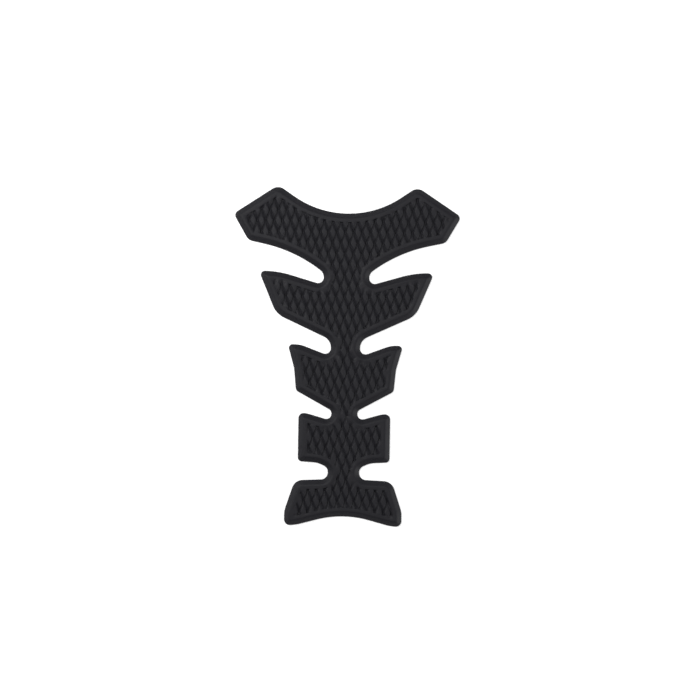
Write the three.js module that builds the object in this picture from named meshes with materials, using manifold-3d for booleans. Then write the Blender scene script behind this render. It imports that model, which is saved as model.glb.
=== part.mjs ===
// Motorcycle tank pad: one rubber moulding that sticks to the top of a fuel tank.
// It has the usual spine shape, a narrow backbone with five pairs of wings and four
// notches down each side, so that the flat moulding can follow a domed tank.
// The back is flat, the edge rises in a bevel to a smooth rim, and inside the rim
// two crossing families of grooves leave a field of upright diamonds for grip.
//
// Millimetres. X runs across the pad, +Y towards the horned front end, +Z out of the
// grip face. The origin is on the flat back, at the middle of the length and width.

import * as THREE from 'three';
import { mergeGeometries, mergeVertices } from 'three/addons/utils/BufferGeometryUtils.js';
import Module from 'manifold-3d';

const wasm = await Module();
wasm.setup();

// Cross-section of the edge, from the outline in. The bevel runs up from an upright
// edge to the flat top, and crestReach is how far their rounding goes to each side of
// the line where they meet.
const thickness = 3.2;
const edgeHeight = 0.8;
const bevelWidth = 3.2;
const crestReach = 0.8;
const crestSteps = 2;
const rimWidth = 2.5;

// Field of diamonds inside the rim. Pitches are between diamonds of one row and of one
// column. sideGap and tipGap are what stays free between two of their feet, and the
// runs are how far a wall leans in from foot to top, at a side corner and at a tip.
const diamondPitchX = 5.3;
const diamondPitchY = 13.6;
const firstDiamondX = 1.5;
const firstDiamondY = -43.6;
const sideGap = 0.8;
const tipGap = 3.6;
const sideRun = 0.5;
const tipRun = 1.5;
const grooveDepth = 1.2;
const rimRun = 0.6;

// How closely chords follow an arc, the least radius left on an inset corner, and the
// most of a straight side that the arcs at its two ends may take up
const chordSagitta = 0.08;
const leastRadius = 0.8;
const mostOfSide = 0.98;

// How far a cutting shape reaches past what it cuts, and how near two vertices of a
// shape lie when they are one
const overcut = 0.3;
const weldDistance = 1e-5;

// Front end. A corner is where its two straight sides would meet, and its radius
// rounds it, so the scoop between the horns is one corner with a large radius. The
// shoulders are the pad's widest place.
const shoulderHalfSpan = 72;
const scoop = { x: 0, y: 77.7, radius: 60 };
const horn = { x: 44, y: 107.8, radius: 6.6 };
const shoulder = { x: shoulderHalfSpan, y: 89.3, radius: 3.2 };

// Notches, front to tail. level is the height of a notch's inner end on the pad, neck
// is half the backbone there, and gap is how wide the inner end is.
const hornNotch = { level: 48.8, neck: 14.4, gap: 7.7, upperRadius: 5.6, lowerRadius: 3.6 };
const chestNotch = { level: 5.1, neck: 9.2, gap: 10.3, upperRadius: 7.7, lowerRadius: 3.6 };
const waistNotch = { level: -37.5, neck: 8.2, gap: 6.4, upperRadius: 3.3, lowerRadius: 3.4 };
const tailNotch = { level: -74.1, neck: 9.9, gap: 7.2, upperRadius: 4.4, lowerRadius: 4.5 };

// Corners of the wings, each with its rise over the level of the notch beside it
const hornWingTip = { x: 62.4, rise: 23.9, radius: 5.6 };
const hornWingUnderside = { x: 32.7, rise: 17.5, radius: 90 };
const chestWingTop = { x: 42.8, rise: 4.5, radius: 62 };
const chestWingTip = { x: 55.5, rise: 4.7, radius: 2.6 };
const chestWingHeel = { x: 44.1, rise: 21.2, radius: 14.5 };
const waistWingTop = { x: 29, rise: 2.3, radius: 20 };
const waistWingTip = { x: 36.4, rise: 2.1, radius: 2.3 };
const waistWingFlank = { x: 32.2, rise: -13.1, radius: 15 };
const waistWingHeel = { x: 30.9, rise: 15.6, radius: 3.2 };
const blockHalfWidth = 29;
const blockTop = { x: 23.4, rise: 1.2, radius: 20 };
const blockFrontCorner = { x: blockHalfWidth, rise: 1.7, radius: 3.3 };
const blockRearCorner = { x: blockHalfWidth, rise: 7.5, radius: 2.6 };
const blockUnderside = { x: 16.3, rise: 6.8, radius: 16 };
const tailWingShoulder = { x: 30.7, rise: -4.5, radius: 7.2 };

// Each notch with the corners above and below it, in the order met when walking down
// the right side to the tail
const notches = [
  { ...hornNotch, above: [hornWingTip, hornWingUnderside], below: [chestWingTop, chestWingTip] },
  {
    ...chestNotch,
    above: [chestWingHeel],
    below: [waistWingTop, waistWingTip, waistWingFlank],
  },
  { ...waistNotch, above: [waistWingHeel], below: [blockTop, blockFrontCorner] },
  { ...tailNotch, above: [blockRearCorner, blockUnderside], below: [tailWingShoulder] },
];

// Tail end: the flared sides, the rounded corners and the arch between them
const tailHalfWidth = 37.1;
const flare = { x: tailHalfWidth, y: -97.9, radius: 15 };
const tailCorner = { x: tailHalfWidth, y: -107.4, radius: 3.6 };
const tailBend = { x: 29.3, y: -106.7, radius: 25 };
const arch = { x: 0, y: -98.9, radius: 63 };

// All corners of the outline, anticlockwise seen from above, centred on its length
function outlineCorners() {
  const rightSide = [horn, shoulder];
  for (const notch of notches) {
    const onLevel = ({ x, rise, radius }) => ({ x, y: notch.level + rise, radius });
    rightSide.push(...notch.above.map(onLevel));
    rightSide.push({ x: notch.neck, y: notch.level + notch.gap / 2, radius: notch.upperRadius });
    rightSide.push({ x: notch.neck, y: notch.level - notch.gap / 2, radius: notch.lowerRadius });
    rightSide.push(...notch.below.map(onLevel));
  }
  rightSide.push(flare, tailCorner, tailBend);
  const leftSide = rightSide.map((corner) => ({ ...corner, x: -corner.x }));
  return [scoop, ...leftSide, arch, ...rightSide.reverse()];
}

// The straight sides between corners, each with its direction and inward normal
function sidesOf(corners) {
  return corners.map((from, i) => {
    const to = corners[(i + 1) % corners.length];
    const along = new THREE.Vector2(to.x - from.x, to.y - from.y);
    const length = along.length();
    along.normalize();
    return { along, length, inward: new THREE.Vector2(-along.y, along.x) };
  });
}

// The same corners with every side moved inwards; outer corners get tighter arcs and
// inner corners wider ones, so the arcs keep their centres
function insetCorners(corners, inset) {
  const sides = sidesOf(corners);
  return corners.map((corner, i) => {
    const before = sides[(i + sides.length - 1) % sides.length];
    const after = sides[i];
    const shift = before.inward.clone().add(after.inward);
    shift.multiplyScalar(inset / (1 + before.inward.dot(after.inward)));
    const turnsLeft = before.along.cross(after.along) > 0;
    const radius = turnsLeft
      ? Math.max(corner.radius - inset, Math.min(leastRadius, corner.radius))
      : corner.radius + inset;
    return { x: corner.x + shift.x, y: corner.y + shift.y, radius };
  });
}

// The corners that an inset outline still has. A side that shrinks to nothing on the
// way in is left out, and the sides next to it are run on until they meet.
function cornersLeftAt(corners, inset) {
  const sides = sidesOf(corners);
  const moved = insetCorners(corners, inset);
  const lengths = sides.map(({ along }, i) => {
    const [from, to] = [moved[i], moved[(i + 1) % moved.length]];
    return along.dot(new THREE.Vector2(to.x - from.x, to.y - from.y));
  });
  const lost = lengths.indexOf(Math.min(...lengths));
  if (lengths[lost] > 0) return corners;
  const next = (lost + 1) % corners.length;
  const before = sides[(lost + sides.length - 1) % sides.length].along;
  const after = sides[next].along;
  const [from, to] = [corners[lost], corners[next]];
  const gap = new THREE.Vector2(to.x - from.x, to.y - from.y);
  const run = gap.cross(after) / before.cross(after);
  const radius = Math.min(from.radius, to.radius);
  const left = [...corners];
  left[lost] = { x: from.x + before.x * run, y: from.y + before.y * run, radius };
  left.splice(next, 1);
  return cornersLeftAt(left, inset);
}

// How many chords each corner's arc takes, the same for every ring of one loft
function chordCounts(corners) {
  const sides = sidesOf(corners);
  return corners.map((corner, i) => {
    const before = sides[(i + sides.length - 1) % sides.length];
    const turn = Math.abs(before.along.angleTo(sides[i].along));
    const chord = Math.sqrt(8 * corner.radius * chordSagitta);
    return Math.max(1, Math.ceil((corner.radius * turn) / chord));
  });
}

// The rounded outline as points. Where two arcs would overlap on a short side, both
// are limited so that they share it.
function roundedRing(corners, counts) {
  const sides = sidesOf(corners);
  const total = corners.length;
  const bends = corners.map((corner, i) => {
    const before = sides[(i + total - 1) % total];
    const turn = Math.atan2(before.along.cross(sides[i].along), before.along.dot(sides[i].along));
    return { turn, reach: corner.radius * Math.tan(Math.abs(turn) / 2) };
  });
  const shares = sides.map((side, i) => {
    const taken = bends[i].reach + bends[(i + 1) % total].reach;
    return Math.min(1, (mostOfSide * side.length) / taken);
  });
  const points = [];
  corners.forEach((corner, i) => {
    const before = sides[(i + total - 1) % total];
    const { turn, reach: wanted } = bends[i];
    const reach = wanted * Math.min(shares[i], shares[(i + total - 1) % total]);
    const radius = reach / Math.tan(Math.abs(turn) / 2);
    const start = new THREE.Vector2(corner.x, corner.y).addScaledVector(before.along, -reach);
    const toCentre = before.inward.clone().multiplyScalar(Math.sign(turn) * radius);
    const centre = start.clone().add(toCentre);
    for (let step = 0; step <= counts[i]; step += 1) {
      points.push(start.clone().rotateAround(centre, (turn * step) / counts[i]));
    }
  });
  return points;
}

// A closed shell through a stack of rings with equal numbers of points
function loft(rings) {
  const count = rings[0].points.length;
  const positions = rings.flatMap(({ points, z }) => points.flatMap((p) => [p.x, p.y, z]));
  const index = [];
  for (let layer = 0; layer + 1 < rings.length; layer += 1) {
    for (let i = 0; i < count; i += 1) {
      const a = layer * count + i;
      const b = layer * count + ((i + 1) % count);
      index.push(a, b, b + count, a, b + count, a + count);
    }
  }
  const cap = (layer, flip) => {
    for (const [a, b, c] of THREE.ShapeUtils.triangulateShape(rings[layer].points, [])) {
      index.push(layer * count + a, layer * count + (flip ? c : b), layer * count + (flip ? b : c));
    }
  };
  cap(0, true);
  cap(rings.length - 1, false);
  const geometry = new THREE.BufferGeometry();
  geometry.setAttribute('position', new THREE.Float32BufferAttribute(positions, 3));
  geometry.setIndex(index);
  return geometry;
}

function toSolid(geometry) {
  const bare = geometry.clone();
  bare.deleteAttribute('normal');
  bare.deleteAttribute('uv');
  const merged = mergeVertices(bare, weldDistance);
  return new wasm.Manifold(new wasm.Mesh({
    numProp: 3,
    vertProperties: new Float32Array(merged.attributes.position.array),
    triVerts: new Uint32Array(merged.index.array),
  }));
}

function toGeometry(solid) {
  const { vertProperties, triVerts } = solid.getMesh();
  const geometry = new THREE.BufferGeometry();
  geometry.setAttribute('position', new THREE.BufferAttribute(vertProperties, 3));
  geometry.setIndex(new THREE.BufferAttribute(triVerts, 1));
  geometry.computeVertexNormals();
  return geometry;
}

const corners = outlineCorners();
const outline = roundedRing(corners, chordCounts(corners));
const front = Math.max(...outline.map((p) => p.y));
const tail = Math.min(...outline.map((p) => p.y));
const halfLength = (front - tail) / 2;
const halfWidth = Math.max(...outline.map((p) => p.x));

// A loft whose rings are the given corners at one inset and height each
function insetLoft(ringCorners, steps) {
  const counts = chordCounts(ringCorners);
  const middle = new THREE.Vector2(0, (front + tail) / 2);
  return loft(steps.map(({ inset, z }) => {
    const points = roundedRing(insetCorners(ringCorners, inset), counts);
    return { points: points.map((p) => p.sub(middle)), z };
  }));
}

// The blank: flat back, upright edge, bevel and rounded crest up to the flat top. The
// crest is a parabola that leaves the bevel and meets the top without a kink.
function blank() {
  const slope = (thickness - edgeHeight) / bevelWidth;
  const steps = [{ inset: 0, z: 0 }, { inset: 0, z: edgeHeight }];
  for (let step = 0; step <= crestSteps; step += 1) {
    const left = 1 - step / crestSteps;
    const inset = bevelWidth + crestReach * (1 - 2 * left);
    steps.push({ inset, z: thickness - slope * crestReach * left * left });
  }
  return toSolid(insetLoft(corners, steps));
}

// The outline of one diamond about its own middle, leaning in by a share of its runs
function diamondRing(share) {
  const side = (diamondPitchX - sideGap) / 2 - share * sideRun;
  const tip = (diamondPitchY - tipGap) / 2 - share * tipRun;
  const points = [[side, 0], [0, tip], [-side, 0], [0, -tip]];
  return points.map(([x, y]) => new THREE.Vector2(x, y));
}

// All the diamonds near the pad, as posts that reach past the floor and the top. They
// stand in rows, and every other row is shifted by half a pitch.
function diamonds() {
  const floor = thickness - grooveDepth;
  const post = loft([
    { points: diamondRing(0), z: floor - overcut },
    { points: diamondRing(0), z: floor },
    { points: diamondRing(1), z: thickness },
    { points: diamondRing(1), z: thickness + 2 * overcut },
  ]);
  const rowPitch = diamondPitchY / 2;
  const posts = [];
  const lastRow = Math.ceil((halfLength - firstDiamondY) / rowPitch);
  for (let row = Math.floor((-halfLength - firstDiamondY) / rowPitch); row <= lastRow; row += 1) {
    const rowX = firstDiamondX + (row % 2 === 0 ? 0 : diamondPitchX / 2);
    const lastColumn = Math.ceil((halfWidth - rowX) / diamondPitchX);
    for (let column = Math.floor((-halfWidth - rowX) / diamondPitchX); column <= lastColumn; column += 1) {
      const x = rowX + column * diamondPitchX;
      posts.push(post.clone().translate(x, firstDiamondY + row * rowPitch, 0));
    }
  }
  return toSolid(mergeGeometries(posts));
}

// The field that the grooves are sunk in, with a sloping border at the rim
function field() {
  const border = bevelWidth + rimWidth;
  const foot = border + rimRun;
  return toSolid(insetLoft(cornersLeftAt(corners, foot), [
    { inset: foot, z: thickness - grooveDepth },
    { inset: border, z: thickness },
    { inset: border, z: thickness + overcut },
  ]));
}

const grooves = field().subtract(diamonds());
const rubber = new THREE.MeshStandardMaterial({ color: 0x2d2d30, roughness: 0.7, metalness: 0 });
const pad = new THREE.Mesh(toGeometry(blank().subtract(grooves)), rubber);
pad.name = 'tank_pad';

const model = new THREE.Group();
model.add(pad);

export default model;
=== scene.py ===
# Motorcycle tank pad: the fine mesh of the moulded rubber pad, its material, and a
# plain white studio seen straight from above.
#
# The mesh is worked out in millimetres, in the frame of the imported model: X across the
# pad, +Y towards its horned front end, +Z out of the grip face, back at Z = 0. A point
# of the plan is a complex number, x + iy. The camera, lights and floor are in metres.

import math

import bpy
import numpy as np
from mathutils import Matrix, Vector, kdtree
from mathutils.geometry import delaunay_2d_cdt


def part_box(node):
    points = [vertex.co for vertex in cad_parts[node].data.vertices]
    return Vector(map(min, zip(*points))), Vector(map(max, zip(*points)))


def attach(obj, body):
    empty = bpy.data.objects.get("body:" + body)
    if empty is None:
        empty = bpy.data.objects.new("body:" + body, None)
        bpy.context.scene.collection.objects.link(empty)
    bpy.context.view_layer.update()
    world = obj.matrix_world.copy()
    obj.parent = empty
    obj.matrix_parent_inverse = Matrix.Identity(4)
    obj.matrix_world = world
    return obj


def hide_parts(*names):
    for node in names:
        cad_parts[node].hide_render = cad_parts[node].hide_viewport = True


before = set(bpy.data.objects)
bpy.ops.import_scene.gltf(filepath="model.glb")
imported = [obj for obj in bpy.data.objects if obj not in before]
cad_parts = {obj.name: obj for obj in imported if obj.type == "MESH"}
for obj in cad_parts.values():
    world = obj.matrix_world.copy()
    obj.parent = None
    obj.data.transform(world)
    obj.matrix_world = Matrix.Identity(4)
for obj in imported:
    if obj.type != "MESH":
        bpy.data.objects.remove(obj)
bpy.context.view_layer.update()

MM = 0.001

# Cross-section of the edge, from the outline in. FLAT_MARGIN is how far the rim's flat
# runs past its rounded crest before the mesh of the field begins.
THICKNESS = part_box("tank_pad")[1].z / MM
BACK_EDGE_RADIUS = 0.15
BACK_EDGE_STEPS = 3
EDGE_HEIGHT = 0.8
EDGE_RADIUS = 0.6
EDGE_STEPS = 4
BEVEL_WIDTH = 3.2
CREST_RADIUS = 2.4
CREST_STEPS = 8
FLAT_MARGIN = 0.05
RIM_WIDTH = 2.45
BORDER = BEVEL_WIDTH + RIM_WIDTH

# Field of diamonds inside the rim. TOP and FOOT are a diamond's half diagonals at the
# top and at the floor of the grooves. MIDWAY_DEPTH is the share of a groove's depth
# that is left midway between two crossings.
PITCH_X, PITCH_Y = 5.3, 13.6
FIRST_DIAMOND = 1.5 - 43.6j
GROOVE_DEPTH = 1.5
MIDWAY_DEPTH = 0.65
TOP = (1.7, 3.1)
FOOT = (2.62, 6.7)

# How far in from the rim a groove takes to reach its depth. The roundings of the
# diamonds' tops, of the grooves' floors and of the rim's wall are shares of the depth,
# and the rounding of a diamond's corners is a share of the diamond's size.
RIM_WALL = 0.5
TOP_ROUNDING = 0.2
FLOOR_ROUNDING = 0.06
RIM_ROUNDING = 0.25
CORNER_ROUNDING = 0.2

# Rings round the middle of a diamond, as shares of the way out to the middle of the
# groove: where the top and the foot lie, and all the rings that the mesh has
TOP_SHARE = 0.6
FOOT_SHARE = 0.985
MESH_SHARES = (1.0, 0.965, 0.88, 0.77, 0.675, 0.63, 0.57, 0.525, 0.46)

# Mesh of the groove ends along the rim: where its rings lie from the rim's edge in, how
# exactly, and the shares at which it has points. Loose points keep MESH_GAP apart.
WALL_RINGS = (-0.2, -0.05, 0.08, 0.25, 0.4, 0.6, 0.9)
WALL_RING_ERROR = 0.02
WALL_SHARES = (0.965, 0.88, 0.77, 0.675, 0.525)
WALL_SAMPLE = 0.08
MESH_GAP = 0.06

# How closely chords follow an arc and how few it may have, the least radius left on an
# inset corner, and the most of a straight side that the arcs at its two ends may take up
CHORD_SAGITTA = 0.012
LEAST_CHORDS = 2
LEAST_RADIUS = 0.8
MOST_OF_SIDE = 0.98

# How exactly a point's ring is found, how near two points count as one in the
# triangulation, and how many points are measured at a time
SHARE_ERROR = 1e-7
SAME_POINT = 1e-7
BLOCK = 4000

# Corners of the outline as (x, y, radius). A corner is where its two straight sides
# would meet, so the scoop between the horns is one corner with a large radius.
SCOOP = (0, 77.7, 60)
HORN = (44, 107.8, 6.6)
SHOULDER = (72, 89.3, 3.2)
FLARE = (37.1, -97.9, 15)
TAIL_CORNER = (37.1, -107.4, 3.6)
TAIL_BEND = (29.3, -106.7, 25)
ARCH = (0, -98.9, 63)

# Notches, front to tail. level is the height of a notch's inner end on the pad, neck is
# half the backbone there and gap is how wide the inner end is. above and below are the
# corners of the wings beside it as (x, rise over the level, radius).
BLOCK_HALF_WIDTH = 29
NOTCHES = (
    {
        "level": 48.8, "neck": 14.4, "gap": 7.7, "radii": (5.6, 3.6),
        "above": ((62.4, 23.9, 5.6), (32.7, 17.5, 90)),
        "below": ((42.8, 4.5, 62), (55.5, 4.7, 2.6)),
    },
    {
        "level": 5.1, "neck": 9.2, "gap": 10.3, "radii": (7.7, 3.6),
        "above": ((44.1, 21.2, 14.5),),
        "below": ((29, 2.3, 20), (36.4, 2.1, 2.3), (32.2, -13.1, 15)),
    },
    {
        "level": -37.5, "neck": 8.2, "gap": 6.4, "radii": (3.3, 3.4),
        "above": ((30.9, 15.6, 3.2),),
        "below": ((23.4, 1.2, 20), (BLOCK_HALF_WIDTH, 1.7, 3.3)),
    },
    {
        "level": -74.1, "neck": 9.9, "gap": 7.2, "radii": (4.4, 4.5),
        "above": ((BLOCK_HALF_WIDTH, 7.5, 2.6), (16.3, 6.8, 16)),
        "below": ((30.7, -4.5, 7.2),),
    },
)

# Rubber: the two colours that its clouds mix, how glossy it is, its noises as (scale,
# detail), the part of a noise that spreads the roughness, and the grain's relief
RUBBER_COLOURS = ((0.0145, 0.0142, 0.0178, 1), (0.0182, 0.0179, 0.0218, 1))
RUBBER_SPECULAR = 0.2
RUBBER_ROUGHNESS = (0.5, 0.58)
CLOUDS = (30, 3)
SMUDGES = (90, 4)
SMUDGE_SPREAD = (0.3, 0.7)
GRAIN = (6000, 2)
GRAIN_STRENGTH = 0.25
GRAIN_RELIEF = 0.00005

# The photograph: how many metres wide its frame is at the pad, where the pad's middle
# lies in it, and how far the pad leans to the right
PHOTO_SIZE_PX = 700
PHOTO_WIDTH = 0.4413
PAD_MIDDLE_PX = (345.25, 357.03)
PAD_LEAN = math.radians(0.9)
LENS = 85
SENSOR = 36

# Table: half its width, how far its top is below the pad, its colour, roughness and glow
TABLE_HALF_WIDTH = 4.0
TABLE_DROP = 0.0002
TABLE_COLOUR = (0.9, 0.9, 0.9, 1)
TABLE_ROUGHNESS = 0.9
TABLE_GLOW = 0.45

# Lights as (name, place, size, watts). The low ones brighten the bevels at the sides,
# and the near one makes the pad lighter at its front left than at its tail.
SOFTBOXES = (
    ("softbox_left", (-1.35, 0.3, 0.45), (1.2, 0.7), 4.8),
    ("softbox_right", (1.35, -0.35, 0.45), (1.2, 0.7), 10.5),
    ("softbox_top", (0.05, 0.12, 1.65), (0.9, 0.9), 4.3),
    ("softbox_near", (-0.28, 0.22, 0.55), (0.26, 0.26), 2.2),
)
ROOM_LIGHT = 0.12
WHITE = (1, 1, 1, 1)


# Outline

def outline_corners():
    """All corners as arrays of points and radii, anticlockwise from the scoop."""
    right = [HORN, SHOULDER]
    for notch in NOTCHES:
        level, neck, half_gap = notch["level"], notch["neck"], notch["gap"] / 2
        right += [(x, level + rise, radius) for x, rise, radius in notch["above"]]
        right.append((neck, level + half_gap, notch["radii"][0]))
        right.append((neck, level - half_gap, notch["radii"][1]))
        right += [(x, level + rise, radius) for x, rise, radius in notch["below"]]
    right += [FLARE, TAIL_CORNER, TAIL_BEND]
    left = [(-x, y, radius) for x, y, radius in right]
    corners = [SCOOP, *left, ARCH, *reversed(right)]
    return np.array([x + 1j * y for x, y, _ in corners]), np.array([r for _, _, r in corners])


def turn_between(before, after):
    """The signed angle from one direction to the other."""
    return np.angle(after / before)


def inset_corners(points, radii, inset):
    """The same corners with every side moved inwards. Outer corners get tighter arcs
    and inner corners wider ones, so the arcs keep their centres."""
    after = np.roll(points, -1) - points
    after = after / abs(after)
    before = np.roll(after, 1)
    turn = turn_between(before, after)
    shift = 1j * (before + after) / (1 + np.cos(turn))
    tight = np.maximum(radii - inset, np.minimum(LEAST_RADIUS, radii))
    return points + inset * shift, np.where(turn > 0, tight, radii + inset)


def chord_counts(points, radii):
    """How many chords each corner's arc takes, the same for every ring."""
    after = np.roll(points, -1) - points
    turn = abs(turn_between(np.roll(after, 1), after))
    chord = np.sqrt(8 * radii * CHORD_SAGITTA)
    return np.maximum(LEAST_CHORDS, np.ceil(radii * turn / chord)).astype(int)


def rounded_ring(points, radii, counts):
    """The rounded outline as points. Where two arcs would overlap on a short side, both
    are limited so that they share it."""
    along = np.roll(points, -1) - points
    length = abs(along)
    along = along / length
    before = np.roll(along, 1)
    turn = turn_between(before, along)
    reach = radii * np.tan(abs(turn) / 2)
    share = np.minimum(1, MOST_OF_SIDE * length / (reach + np.roll(reach, -1)))
    reach = reach * np.minimum(share, np.roll(share, 1))
    radius = reach / np.tan(abs(turn) / 2)
    start = points - before * reach
    centre = start + 1j * before * np.sign(turn) * radius
    arcs = []
    for i, count in enumerate(counts):
        steps = np.arange(count + 1) / count
        arcs.append(centre[i] + (start[i] - centre[i]) * np.exp(1j * turn[i] * steps))
    return np.concatenate(arcs)


CORNERS, RADII = outline_corners()
COUNTS = chord_counts(CORNERS, RADII)
OUTLINE = rounded_ring(CORNERS, RADII, COUNTS)
MIDDLE = 1j * (OUTLINE.imag.max() + OUTLINE.imag.min()) / 2


def ring(inset):
    """The outline moved inwards, centred on the pad's length."""
    return rounded_ring(*inset_corners(CORNERS, RADII, inset), COUNTS) - MIDDLE


# Points and loops of the plan

def in_blocks(measure, points):
    """measure(points), taken a block of points at a time to spare memory."""
    parts = [measure(points[first:first + BLOCK]) for first in range(0, len(points), BLOCK)]
    return np.concatenate(parts)


def sides_of(loops):
    """The sides of closed loops, as the points where they start and the ways along them."""
    start = np.concatenate(loops)
    return start, np.concatenate([np.roll(loop, -1) for loop in loops]) - start


def within(points, loops):
    """Which points lie inside an odd number of the loops."""
    start, along = sides_of(loops)
    flat = along.imag == 0
    slope = along.real / np.where(flat, 1, along.imag)

    def odd_crossings(some):
        offset = some[:, None] - start
        crossed = (offset.imag > 0) != (offset.imag > along.imag)
        crossed &= offset.real < offset.imag * slope
        return crossed.sum(axis=1) % 2 == 1

    return in_blocks(odd_crossings, points)


def distances(points, loops):
    """How far each point is from the nearest side of the loops."""
    start, along = sides_of(loops)

    def nearest(some):
        offset = some[:, None] - start
        share = np.clip((offset * along.conj()).real / abs(along) ** 2, 0, 1)
        return abs(offset - share * along).min(axis=1)

    return in_blocks(nearest, points)


def insets_of(points):
    """How far each point lies inside the outline. Points outside it get a negative."""
    outline = [ring(0)]
    away = distances(points, outline)
    return np.where(within(points, outline), away, -away)


def clear_of(points, loops):
    """Which points lie between the first loop and the others, and not near the others."""
    return within(points, loops) & (distances(points, loops[1:]) > MESH_GAP)


def spaced(points):
    """The indices of points to keep so that no two of them are near each other. Of two
    near points the earlier one is kept."""
    tree = kdtree.KDTree(len(points))
    for index, point in enumerate(points):
        tree.insert((point.real, point.imag, 0), index)
    tree.balance()
    dropped = set()
    for index, point in enumerate(points):
        if index not in dropped:
            near = tree.find_range((point.real, point.imag, 0), MESH_GAP)
            dropped.update(other for _, other, _ in near if other > index)
    return [index for index in range(len(points)) if index not in dropped]


# Shape of the field of diamonds

def half_diagonals(share):
    """Half the width and half the length of the ring at a share of the way out."""
    shares = (0, TOP_SHARE, FOOT_SHARE, 1)
    half_width = np.interp(share, shares, (0, TOP[0], FOOT[0], PITCH_X / 2))
    half_length = np.interp(share, shares, (0, TOP[1], FOOT[1], PITCH_Y / 2))
    return half_width, half_length


def lattice_place(points):
    """The lattice coordinates of plan points, on straight lines. Diamonds sit where both
    coordinates are whole numbers, and the grooves run along their halves."""
    offset = points - FIRST_DIAMOND
    a, b = offset.real / PITCH_X, offset.imag / PITCH_Y
    return a + b, a - b


def lattice_point(s, t):
    """The plan point of lattice coordinates. Between the diamonds and the grooves, the
    lines of the lattice bend so that they follow the rings round each diamond."""
    whole_s, whole_t = np.round(s), np.round(t)
    s, t = s - whole_s, t - whole_t
    share = 2 * np.maximum(abs(s), abs(t))
    half_width, half_length = half_diagonals(share)
    out = 2 / np.where(share == 0, 1, share)
    x = PITCH_X * (whole_s + whole_t) / 2 + half_width * out * (s + t) / 2
    y = PITCH_Y * (whole_s - whole_t) / 2 + half_length * out * (s - t) / 2
    return FIRST_DIAMOND + x + 1j * y


def smooth_least(a, b, reach):
    """The lesser of two values, rounded where they are within reach of each other."""
    near = np.maximum(reach - abs(a - b), 0) / reach
    return np.minimum(a, b) - near * near * reach / 4


def smooth_most(a, b, reach):
    """The greater of two values, rounded where they are within reach of each other."""
    return -smooth_least(-a, -b, reach)


def shares_of(points):
    """Which ring round its diamond each point lies on, found by halving an interval.
    The rings' corners are rounded."""
    s, t = lattice_place(points)
    s, t = s - np.round(s), t - np.round(t)
    x, y = PITCH_X * (s + t) / 2, PITCH_Y * (s - t) / 2
    share, step = np.full(x.shape, 0.5), 0.25
    while step > SHARE_ERROR:
        half_width, half_length = half_diagonals(share)
        rising = abs(x / half_width + y / half_length)
        falling = abs(x / half_width - y / half_length)
        outside = smooth_most(rising, falling, CORNER_ROUNDING) > 1
        share = share + np.where(outside, step, -step)
        step /= 2
    return share


def field_heights(points, insets):
    """The height of the grip face at each point. Diamonds and the rim stand at full
    thickness, with rounded shoulders, and the grooves lie between them, deepest where
    they cross."""
    wall = (shares_of(points) - TOP_SHARE) / (FOOT_SHARE - TOP_SHARE)
    s, t = lattice_place(points)
    to_crossing = 2 * np.minimum(abs(s - np.round(s)), abs(t - np.round(t)))
    eased = to_crossing ** 2 * (3 - 2 * to_crossing)
    deepest = MIDWAY_DEPTH + (1 - MIDWAY_DEPTH) * eased
    down = deepest * smooth_least(wall, 1, FLOOR_ROUNDING)
    below_rim = (insets - BORDER) / RIM_WALL
    down = smooth_least(down, below_rim, RIM_ROUNDING)
    return THICKNESS - GROOVE_DEPTH * smooth_most(down, 0, TOP_ROUNDING)


# Mesh of the field

def lattice_lines(span):
    """The lattice coordinates of all mesh lines from -span to span."""
    rising = -np.array(MESH_SHARES) / 2
    one_cell = np.concatenate([rising, [0.0], -rising[:0:-1]])
    cells = np.arange(-math.ceil(span), math.ceil(span) + 1)
    return (cells[:, None] + one_cell).ravel()


def without_pinches(kept):
    """Fills in quads until no two of them meet at a corner alone."""
    while True:
        a, b, c, d = kept[:-1, :-1], kept[1:, :-1], kept[:-1, 1:], kept[1:, 1:]
        pinch = (a & d & ~b & ~c) | (b & c & ~a & ~d)
        if not pinch.any():
            return kept
        for part in (a, b, c, d):
            part |= pinch


def field_patch():
    """The lattice vertices with their insets, and the quads of the field's middle."""
    reach = abs(OUTLINE - MIDDLE - FIRST_DIAMOND)
    lines = lattice_lines(reach.max() * (1 / PITCH_X + 1 / PITCH_Y))
    s, t = np.meshgrid(lines, lines, indexing="ij")
    points = lattice_point(s, t)
    box = ring(0)
    close = (abs(points.real) < box.real.max()) & (abs(points.imag) < box.imag.max())
    insets = np.full(points.shape, -1.0)
    insets[close] = insets_of(points[close])
    deep = insets > BORDER + WALL_RINGS[-1]
    kept = without_pinches(deep[:-1, :-1] & deep[1:, :-1] & deep[:-1, 1:] & deep[1:, 1:])
    index = np.full(points.shape, -1)
    index[deep] = np.arange(deep.sum())
    i, j = np.nonzero(kept)
    quads = np.stack([index[i, j], index[i, j + 1], index[i + 1, j + 1], index[i + 1, j]], axis=1)
    return points[deep], insets[deep], quads


def wall_points():
    """Points along the rings where grooves end at the rim, wherever such a ring crosses
    a ring round a diamond."""
    found = []
    for depth in WALL_RINGS:
        corners = ring(BORDER + depth)
        along = np.roll(corners, -1) - corners
        parts = np.ceil(abs(along) / WALL_SAMPLE).astype(int)
        walk = np.concatenate([c + a * np.arange(n) / n for c, a, n in zip(corners, along, parts)])
        shares = shares_of(walk)
        onward, shares_onward = np.roll(walk, -1), np.roll(shares, -1)
        for level in WALL_SHARES:
            at = np.nonzero((shares < level) != (shares_onward < level))[0]
            way = (level - shares[at]) / (shares_onward - shares)[at]
            points = walk[at] + way * (onward - walk)[at]
            # An inset ring crosses itself in a narrow tip, and what lies beyond is left out
            on_ring = abs(insets_of(points) - BORDER - depth) < WALL_RING_ERROR
            found.append(points[on_ring])
    return np.concatenate(found)


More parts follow.
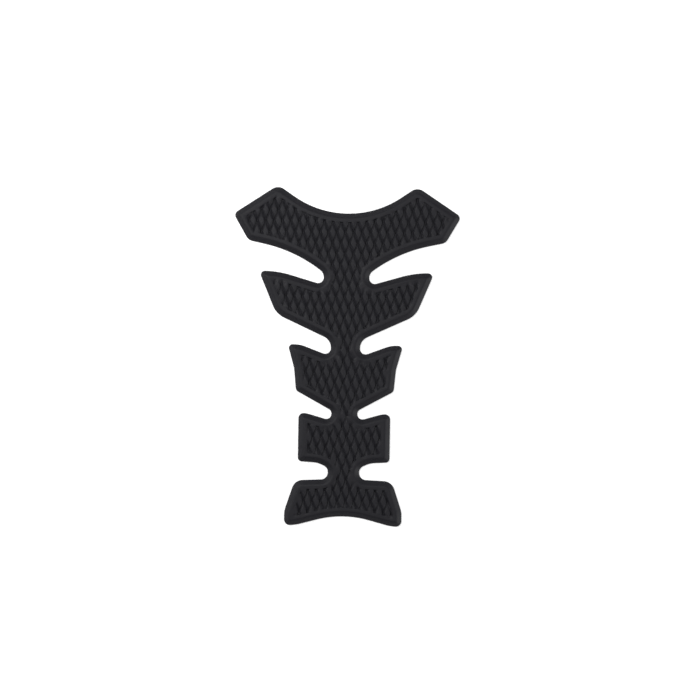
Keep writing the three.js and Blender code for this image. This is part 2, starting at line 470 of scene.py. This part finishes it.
def border_loops(quads):
    """The loops of vertices round the quads, each in the direction of its quads."""
    edges = {(int(q[k]), int(q[(k + 1) % 4])) for q in quads for k in range(4)}
    onward = {a: b for a, b in edges if (b, a) not in edges}
    loops = []
    while onward:
        start, vertex = onward.popitem()
        loop = [start]
        while vertex != start:
            loop.append(vertex)
            vertex = onward.pop(vertex)
        loops.append(loop)
    return loops


def filled(loops, loose, points):
    """Triangles, as indices into points, between an outer loop and the loops in it,
    through all the loose vertices."""
    order = [vertex for loop in loops for vertex in loop] + loose
    places = [(points[vertex].real, points[vertex].imag) for vertex in order]
    edges = []
    first = 0
    for loop in loops:
        edges += [(first + k, first + (k + 1) % len(loop)) for k in range(len(loop))]
        first += len(loop)
    all_triangles = 0
    _, _, made, origins, _, _ = delaunay_2d_cdt(places, edges, [], all_triangles, SAME_POINT)
    vertices = np.array([order[origin[0]] for origin in origins])
    triangles = vertices[np.array(made)]
    centres = points[triangles].mean(axis=1)
    return triangles[within(centres, [points[loop] for loop in loops])].tolist()


# Whole pad

def rounded_profile(corners):
    """A polyline of (inset, height, radius, steps) corners with its corners rounded."""
    points = [x + 1j * z for x, z, _, _ in corners]
    profile = [points[0]]
    for before, at, after, (_, _, radius, steps) in zip(points, points[1:], points[2:], corners[1:]):
        arrive, leave = (at - before) / abs(at - before), (after - at) / abs(after - at)
        turn = turn_between(arrive, leave)
        start = at - arrive * radius * math.tan(abs(turn) / 2)
        centre = start + 1j * arrive * math.copysign(radius, turn)
        angles = turn * np.arange(steps + 1) / steps
        profile += list(centre + (start - centre) * np.exp(1j * angles))
    return [*profile, points[-1]]


def edge_profile():
    """Insets and heights from the flat back, round the edge and up to the flat rim."""
    slope = math.atan((THICKNESS - EDGE_HEIGHT) / BEVEL_WIDTH)
    flat_from = BEVEL_WIDTH + CREST_RADIUS * math.tan(slope / 2) + FLAT_MARGIN
    return rounded_profile([
        (2 * BACK_EDGE_RADIUS, 0, 0, 0),
        (0, 0, BACK_EDGE_RADIUS, BACK_EDGE_STEPS),
        (0, EDGE_HEIGHT, EDGE_RADIUS, EDGE_STEPS),
        (BEVEL_WIDTH, THICKNESS, CREST_RADIUS, CREST_STEPS),
        (flat_from, THICKNESS, 0, 0),
    ])


def pad_mesh():
    """One closed mesh: flat back, rounded edge, bevel, rim and field of diamonds."""
    # Rings of vertices from the back to the rim, with a band of quads between them
    profile = edge_profile()
    rings = [ring(step.real) for step in profile]
    count = len(rings[0])
    around = np.arange(count)
    onward = (around + 1) % count
    faces = []
    for layer in range(len(rings) - 1):
        low, high = layer * count, (layer + 1) * count
        band = [low + around, low + onward, high + onward, high + around]
        faces += np.stack(band, axis=1).tolist()
    back_loop = list(range(count))
    top_loop = list(range((len(rings) - 1) * count, len(rings) * count))

    # Vertices of the rings, then those of the field
    lattice, lattice_insets, quads = field_patch()
    walls = wall_points()
    field = np.concatenate([lattice, walls])
    field_insets = np.concatenate([lattice_insets, insets_of(walls)])
    edge_heights = np.repeat([step.imag for step in profile], count)
    plan = np.concatenate([*rings, field])
    heights = np.concatenate([edge_heights, field_heights(field, field_insets)])

    # The field's quads, triangles from them to the rim, and the back
    field_start = len(rings) * count
    quads = quads + field_start
    faces += quads.tolist()
    loops = [top_loop, *border_loops(quads)]
    loose = np.setdiff1d(np.arange(field_start, len(plan)), quads)
    loose = loose[clear_of(plan[loose], [plan[loop] for loop in loops])]
    loose = loose[spaced(plan[loose])]
    faces += filled(loops, loose.tolist(), plan)
    faces += [face[::-1] for face in filled([back_loop], [], plan)]

    # Vertices that no face uses are left out
    used = np.unique(np.concatenate(faces))
    vertices = np.stack([plan.real, plan.imag, heights], axis=1)[used] * MM
    faces = [np.searchsorted(used, face).tolist() for face in faces]
    mesh = bpy.data.meshes.new("pad")
    mesh.from_pydata(vertices.tolist(), [], faces)
    mesh.validate()
    mesh.shade_smooth()
    return mesh


# Material

def rubber():
    """Matt black moulded rubber with a fine grain and a slightly uneven sheen."""
    material = bpy.data.materials.new("black_rubber")
    material.use_nodes = True
    nodes, links = material.node_tree.nodes, material.node_tree.links
    shader = nodes["Principled BSDF"]
    shader.inputs["Specular IOR Level"].default_value = RUBBER_SPECULAR
    place = nodes.new("ShaderNodeTexCoord")

    def noise(scale, detail):
        node = nodes.new("ShaderNodeTexNoise")
        node.inputs["Scale"].default_value = scale
        node.inputs["Detail"].default_value = detail
        links.new(place.outputs["Object"], node.inputs["Vector"])
        return node.outputs["Fac"]

    colour = nodes.new("ShaderNodeMix")
    colour.data_type = "RGBA"
    colour.inputs["A"].default_value, colour.inputs["B"].default_value = RUBBER_COLOURS
    links.new(noise(*CLOUDS), colour.inputs["Factor"])
    links.new(colour.outputs["Result"], shader.inputs["Base Color"])

    sheen = nodes.new("ShaderNodeMapRange")
    sheen.inputs["From Min"].default_value, sheen.inputs["From Max"].default_value = SMUDGE_SPREAD
    sheen.inputs["To Min"].default_value, sheen.inputs["To Max"].default_value = RUBBER_ROUGHNESS
    links.new(noise(*SMUDGES), sheen.inputs["Value"])
    links.new(sheen.outputs["Result"], shader.inputs["Roughness"])

    bump = nodes.new("ShaderNodeBump")
    bump.inputs["Strength"].default_value = GRAIN_STRENGTH
    bump.inputs["Distance"].default_value = GRAIN_RELIEF
    links.new(noise(*GRAIN), bump.inputs["Height"])
    links.new(bump.outputs["Normal"], shader.inputs["Normal"])
    return material


# Studio

def camera():
    """Straight above the pad, turned and shifted so that it lies as in the photograph."""
    data = bpy.data.cameras.new("camera")
    data.lens = LENS
    data.sensor_width = SENSOR
    distance = PHOTO_WIDTH * LENS / SENSOR
    metres_per_px = PHOTO_WIDTH / PHOTO_SIZE_PX
    centre_px = PHOTO_SIZE_PX / 2
    across = (centre_px - PAD_MIDDLE_PX[0]) * metres_per_px
    up = (PAD_MIDDLE_PX[1] - centre_px) * metres_per_px
    target = (across + 1j * up) * np.exp(1j * PAD_LEAN)
    made = bpy.data.objects.new("camera", data)
    made.location = (target.real, target.imag, THICKNESS * MM + distance)
    made.rotation_euler = (0, 0, PAD_LEAN)
    bpy.context.scene.collection.objects.link(made)
    bpy.context.scene.camera = made


def floor():
    """A wide white table that glows a little, as an overexposed ground does."""
    mesh = bpy.data.meshes.new("floor")
    half = TABLE_HALF_WIDTH
    corners = [(-half, -half, 0), (half, -half, 0), (half, half, 0), (-half, half, 0)]
    mesh.from_pydata(corners, [], [(0, 1, 2, 3)])
    made = bpy.data.objects.new("floor", mesh)
    bpy.context.scene.collection.objects.link(made)
    material = bpy.data.materials.new("white_table")
    material.use_nodes = True
    shader = material.node_tree.nodes["Principled BSDF"]
    shader.inputs["Base Color"].default_value = TABLE_COLOUR
    shader.inputs["Roughness"].default_value = TABLE_ROUGHNESS
    shader.inputs["Specular IOR Level"].default_value = 0.0
    shader.inputs["Emission Color"].default_value = WHITE
    shader.inputs["Emission Strength"].default_value = TABLE_GLOW
    mesh.materials.append(material)
    made.location.z = -TABLE_DROP


def softbox(name, place, size, power):
    """A rectangular area light that faces the pad."""
    data = bpy.data.lights.new(name, "AREA")
    data.shape = "RECTANGLE"
    data.size, data.size_y = size
    data.energy = power
    made = bpy.data.objects.new(name, data)
    made.location = place
    made.rotation_mode = "QUATERNION"
    made.rotation_quaternion = (-made.location).to_track_quat("-Z", "Y")
    bpy.context.scene.collection.objects.link(made)


def studio():
    """White table, a low soft light on each side, two overhead and a dim white room."""
    floor()
    for light in SOFTBOXES:
        softbox(*light)
    world = bpy.data.worlds.new("white_room")
    world.use_nodes = True
    background = world.node_tree.nodes["Background"]
    background.inputs["Color"].default_value = WHITE
    background.inputs["Strength"].default_value = ROOM_LIGHT
    bpy.context.scene.world = world
    bpy.context.scene.view_settings.view_transform = "Standard"


pad = bpy.data.objects.new("rubber_pad", pad_mesh())
bpy.context.scene.collection.objects.link(pad)
pad.data.materials.append(rubber())
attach(pad, "root")
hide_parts("tank_pad")
camera()
studio()
